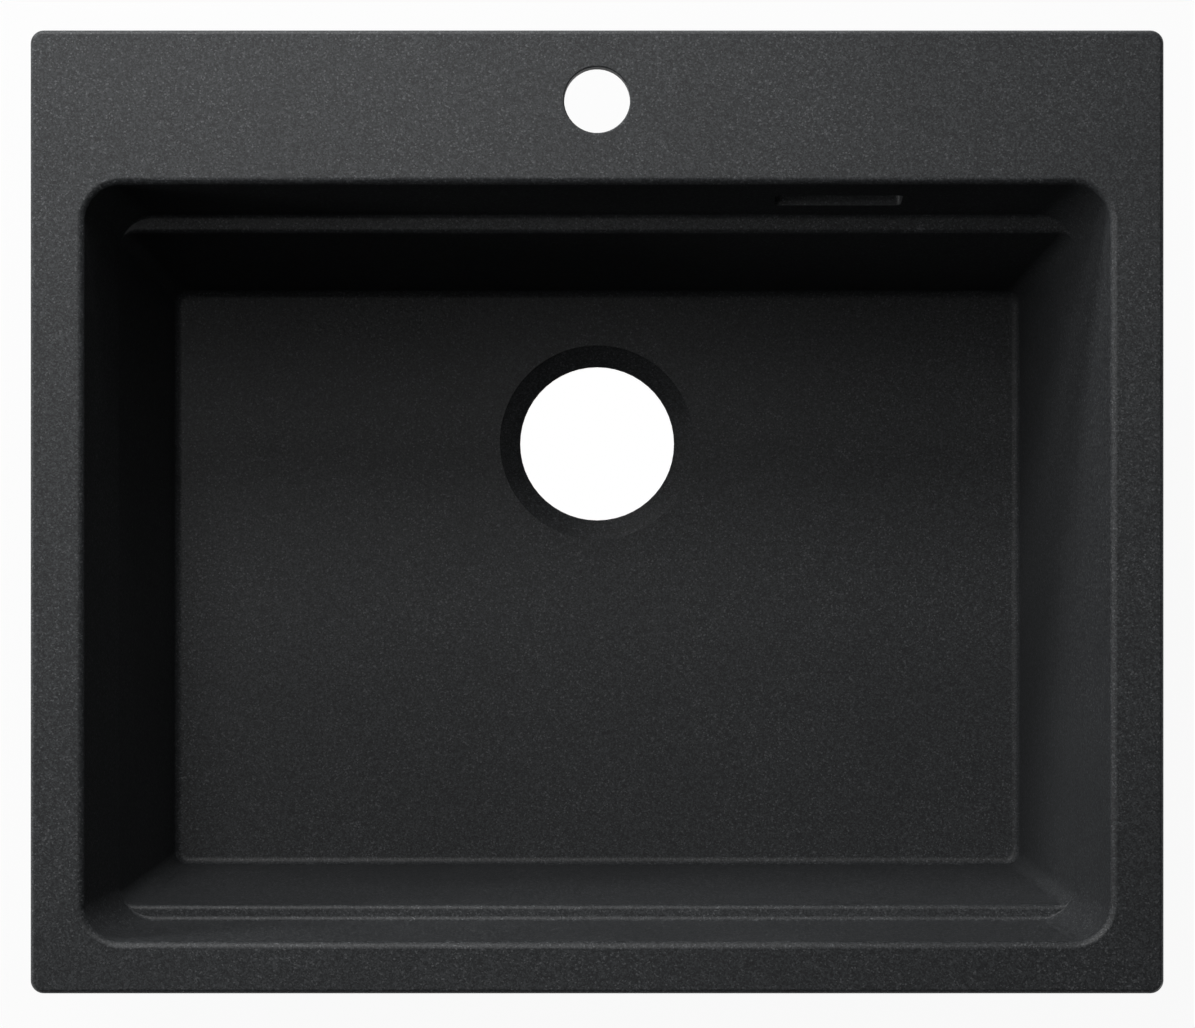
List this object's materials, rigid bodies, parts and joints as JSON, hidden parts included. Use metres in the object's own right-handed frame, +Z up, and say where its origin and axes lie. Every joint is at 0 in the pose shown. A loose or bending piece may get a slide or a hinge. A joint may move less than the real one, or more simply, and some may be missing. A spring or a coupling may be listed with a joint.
{
  "type": "inset composite kitchen sink",
  "caption": "Inset composite kitchen sink: one deep bowl with a ledge along its front and back walls, a tap deck, an overflow slot and swing-out fixing clips under its rim.",
  "frame": {"origin": "middle of the worktop's cut-out, on the worktop's upper face, which the rim's underside lies on", "axes": "+X to the right for a person at the sink, +Y away from them towards the tap, +Z up"},
  "size_m": [0.6, 0.51, 0.2365],
  "materials": {
    "composite": "matt",
    "foam": "closed-cell foam",
    "plastic": "natural",
    "zinc_steel": "zinc plated"
  },
  "bodies": {
    "sink": {"sink_body": "composite", "rim_seal": "foam", "clip_plugs": "plastic"},
    "washer_1": {"clip_washer_1": "zinc_steel"},
    "screw_1": {"clip_screw_1": "zinc_steel"},
    "hook_1": {"clip_hook_1": "zinc_steel"},
    "washer_2": {"clip_washer_2": "zinc_steel"},
    "screw_2": {"clip_screw_2": "zinc_steel"},
    "hook_2": {"clip_hook_2": "zinc_steel"},
    "washer_3": {"clip_washer_3": "zinc_steel"},
    "screw_3": {"clip_screw_3": "zinc_steel"},
    "hook_3": {"clip_hook_3": "zinc_steel"},
    "washer_4": {"clip_washer_4": "zinc_steel"},
    "screw_4": {"clip_screw_4": "zinc_steel"},
    "hook_4": {"clip_hook_4": "zinc_steel"},
    "washer_5": {"clip_washer_5": "zinc_steel"},
    "screw_5": {"clip_screw_5": "zinc_steel"},
    "hook_5": {"clip_hook_5": "zinc_steel"},
    "washer_6": {"clip_washer_6": "zinc_steel"},
    "screw_6": {"clip_screw_6": "zinc_steel"},
    "hook_6": {"clip_hook_6": "zinc_steel"},
    "washer_7": {"clip_washer_7": "zinc_steel"},
    "screw_7": {"clip_screw_7": "zinc_steel"},
    "hook_7": {"clip_hook_7": "zinc_steel"},
    "washer_8": {"clip_washer_8": "zinc_steel"},
    "screw_8": {"clip_screw_8": "zinc_steel"},
    "hook_8": {"clip_hook_8": "zinc_steel"}
  },
  "joints": [
    {"name": "clip_1_lift", "type": "slide", "parent": "sink", "child": "washer_1", "axis": [0, 0, 1], "range_m": [0, 0.012]},
    {"name": "clip_1_turn", "type": "hinge", "parent": "washer_1", "child": "screw_1", "pos_m": [0.2836, -0.135, -0.052], "axis": [0, 0, 1], "range_deg": [0, 2160]},
    {"name": "clip_1_swivel", "type": "hinge", "parent": "washer_1", "child": "hook_1", "pos_m": [0.2836, -0.135, -0.052], "axis": [0, 0, 1], "range_deg": [0, 90]},
    {"name": "clip_2_lift", "type": "slide", "parent": "sink", "child": "washer_2", "axis": [0, 0, 1], "range_m": [0, 0.012]},
    {"name": "clip_2_turn", "type": "hinge", "parent": "washer_2", "child": "screw_2", "pos_m": [0.2836, 0.135, -0.052], "axis": [0, 0, 1], "range_deg": [0, 2160]},
    {"name": "clip_2_swivel", "type": "hinge", "parent": "washer_2", "child": "hook_2", "pos_m": [0.2836, 0.135, -0.052], "axis": [0, 0, 1], "range_deg": [0, 90]},
    {"name": "clip_3_lift", "type": "slide", "parent": "sink", "child": "washer_3", "axis": [0, 0, 1], "range_m": [0, 0.012]},
    {"name": "clip_3_turn", "type": "hinge", "parent": "washer_3", "child": "screw_3", "pos_m": [-0.2836, -0.135, -0.052], "axis": [0, 0, 1], "range_deg": [0, 2160]},
    {"name": "clip_3_swivel", "type": "hinge", "parent": "washer_3", "child": "hook_3", "pos_m": [-0.2836, -0.135, -0.052], "axis": [0, 0, 1], "range_deg": [0, 90]},
    {"name": "clip_4_lift", "type": "slide", "parent": "sink", "child": "washer_4", "axis": [0, 0, 1], "range_m": [0, 0.012]},
    {"name": "clip_4_turn", "type": "hinge", "parent": "washer_4", "child": "screw_4", "pos_m": [-0.2836, 0.135, -0.052], "axis": [0, 0, 1], "range_deg": [0, 2160]},
    {"name": "clip_4_swivel", "type": "hinge", "parent": "washer_4", "child": "hook_4", "pos_m": [-0.2836, 0.135, -0.052], "axis": [0, 0, 1], "range_deg": [0, 90]},
    {"name": "clip_5_lift", "type": "slide", "parent": "sink", "child": "washer_5", "axis": [0, 0, 1], "range_m": [0, 0.012]},
    {"name": "clip_5_turn", "type": "hinge", "parent": "washer_5", "child": "screw_5", "pos_m": [-0.19, 0.2386, -0.052], "axis": [0, 0, 1], "range_deg": [0, 2160]},
    {"name": "clip_5_swivel", "type": "hinge", "parent": "washer_5", "child": "hook_5", "pos_m": [-0.19, 0.2386, -0.052], "axis": [0, 0, 1], "range_deg": [0, 90]},
    {"name": "clip_6_lift", "type": "slide", "parent": "sink", "child": "washer_6", "axis": [0, 0, 1], "range_m": [0, 0.012]},
    {"name": "clip_6_turn", "type": "hinge", "parent": "washer_6", "child": "screw_6", "pos_m": [0.19, 0.2386, -0.052], "axis": [0, 0, 1], "range_deg": [0, 2160]},
    {"name": "clip_6_swivel", "type": "hinge", "parent": "washer_6", "child": "hook_6", "pos_m": [0.19, 0.2386, -0.052], "axis": [0, 0, 1], "range_deg": [0, 90]},
    {"name": "clip_7_lift", "type": "slide", "parent": "sink", "child": "washer_7", "axis": [0, 0, 1], "range_m": [0, 0.012]},
    {"name": "clip_7_turn", "type": "hinge", "parent": "washer_7", "child": "screw_7", "pos_m": [-0.19, -0.2386, -0.052], "axis": [0, 0, 1], "range_deg": [0, 2160]},
    {"name": "clip_7_swivel", "type": "hinge", "parent": "washer_7", "child": "hook_7", "pos_m": [-0.19, -0.2386, -0.052], "axis": [0, 0, 1], "range_deg": [0, 90]},
    {"name": "clip_8_lift", "type": "slide", "parent": "sink", "child": "washer_8", "axis": [0, 0, 1], "range_m": [0, 0.012]},
    {"name": "clip_8_turn", "type": "hinge", "parent": "washer_8", "child": "screw_8", "pos_m": [0.19, -0.2386, -0.052], "axis": [0, 0, 1], "range_deg": [0, 2160]},
    {"name": "clip_8_swivel", "type": "hinge", "parent": "washer_8", "child": "hook_8", "pos_m": [0.19, -0.2386, -0.052], "axis": [0, 0, 1], "range_deg": [0, 90]}
  ],
  "couplings": [
    {"joint": "clip_1_turn", "follows": "clip_1_lift", "rad_per_m": 3141.6},
    {"joint": "clip_2_turn", "follows": "clip_2_lift", "rad_per_m": 3141.6},
    {"joint": "clip_3_turn", "follows": "clip_3_lift", "rad_per_m": 3141.6},
    {"joint": "clip_4_turn", "follows": "clip_4_lift", "rad_per_m": 3141.6},
    {"joint": "clip_5_turn", "follows": "clip_5_lift", "rad_per_m": 3141.6},
    {"joint": "clip_6_turn", "follows": "clip_6_lift", "rad_per_m": 3141.6},
    {"joint": "clip_7_turn", "follows": "clip_7_lift", "rad_per_m": 3141.6},
    {"joint": "clip_8_turn", "follows": "clip_8_lift", "rad_per_m": 3141.6}
  ]
}
